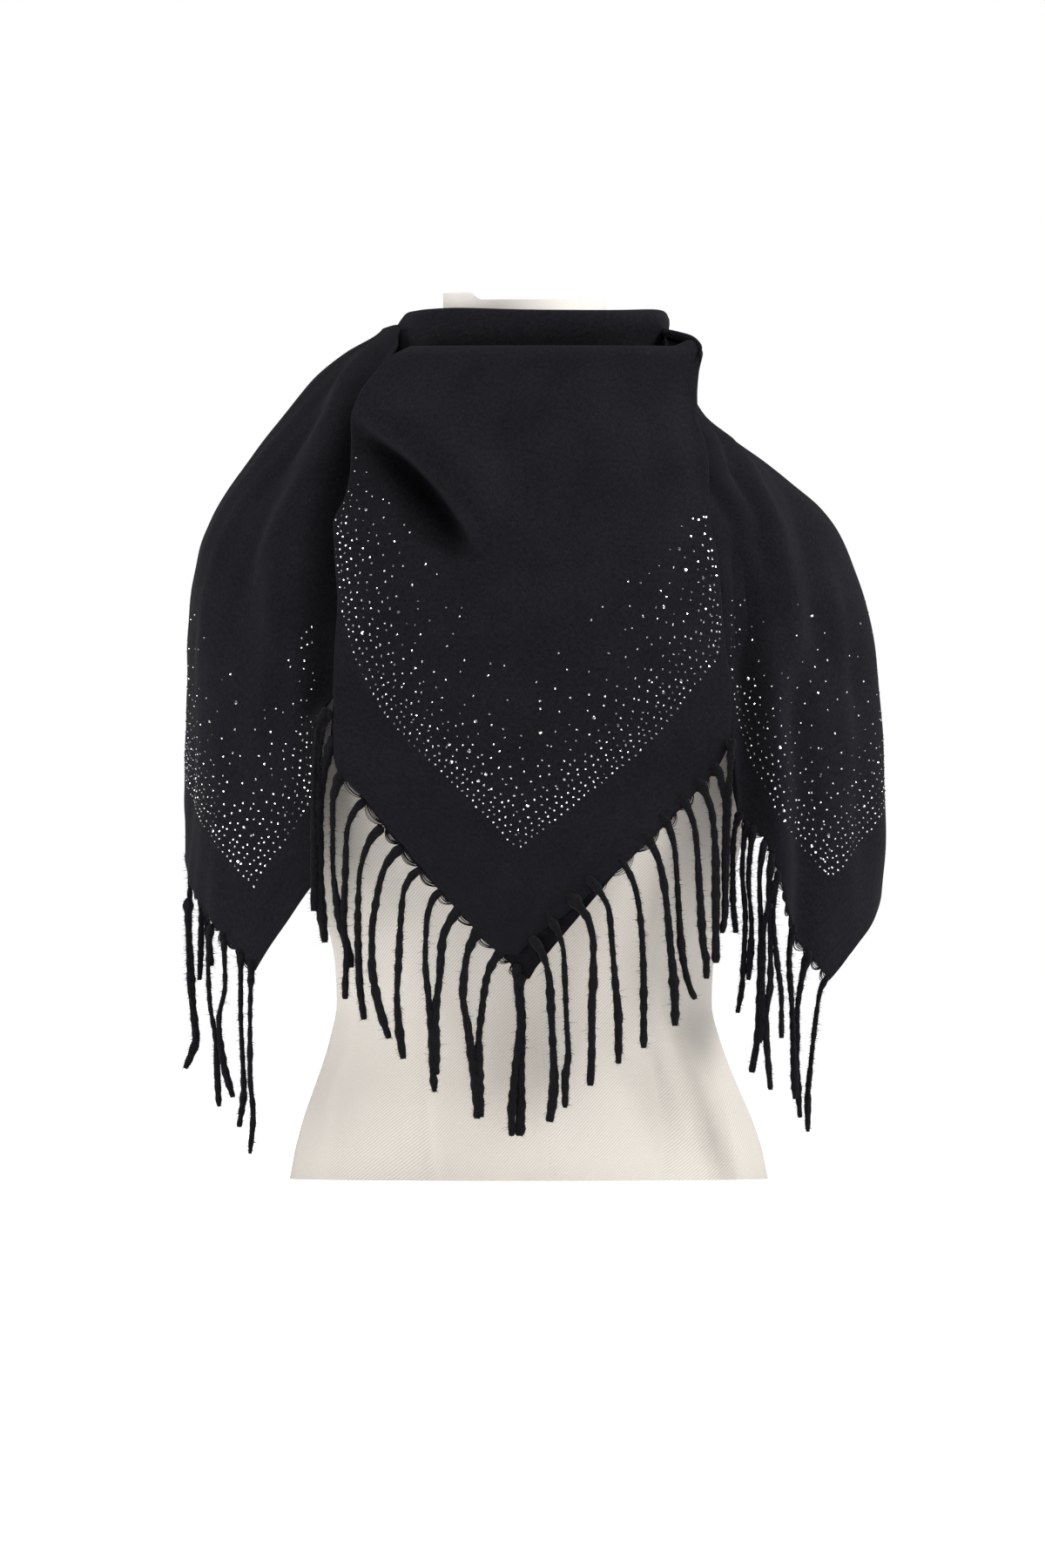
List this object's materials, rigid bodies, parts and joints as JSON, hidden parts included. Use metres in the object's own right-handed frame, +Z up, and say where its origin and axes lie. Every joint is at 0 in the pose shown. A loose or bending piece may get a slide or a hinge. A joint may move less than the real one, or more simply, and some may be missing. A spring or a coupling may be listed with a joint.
{
  "type": "rhinestone scarf on a dress form",
  "caption": "Square dark fringed scarf with bands of small clear stones, folded to a triangle and wound on a linen-covered dress form.",
  "frame": {"origin": "centre of the dress form's flat underside", "axes": "+Z up; the front of the scarf, with its point, faces -Y; +X is to the right as the front is looked at"},
  "size_m": [0.4492, 0.2669, 0.5673],
  "materials": {
    "linen": "undyed twill linen, matt",
    "cap": "smooth cream cotton over a hard cap",
    "wool": "brushed black wool, soft nap",
    "fringe": "rolled black wool tassels, fuzzy",
    "stones": "clear foiled glass, faceted and polished"
  },
  "bodies": {
    "root": {"dress_form": "linen", "neck_cap": "cap", "neck_wrap": "wool", "front_panel_outer": "wool", "front_panel_inner": "wool", "left_drape": "wool", "right_drape": "wool", "fringe_front_left": "fringe", "fringe_front_right": "fringe", "fringe_left_drape": "fringe", "fringe_right_drape": "fringe"}
  },
  "joints": []
}
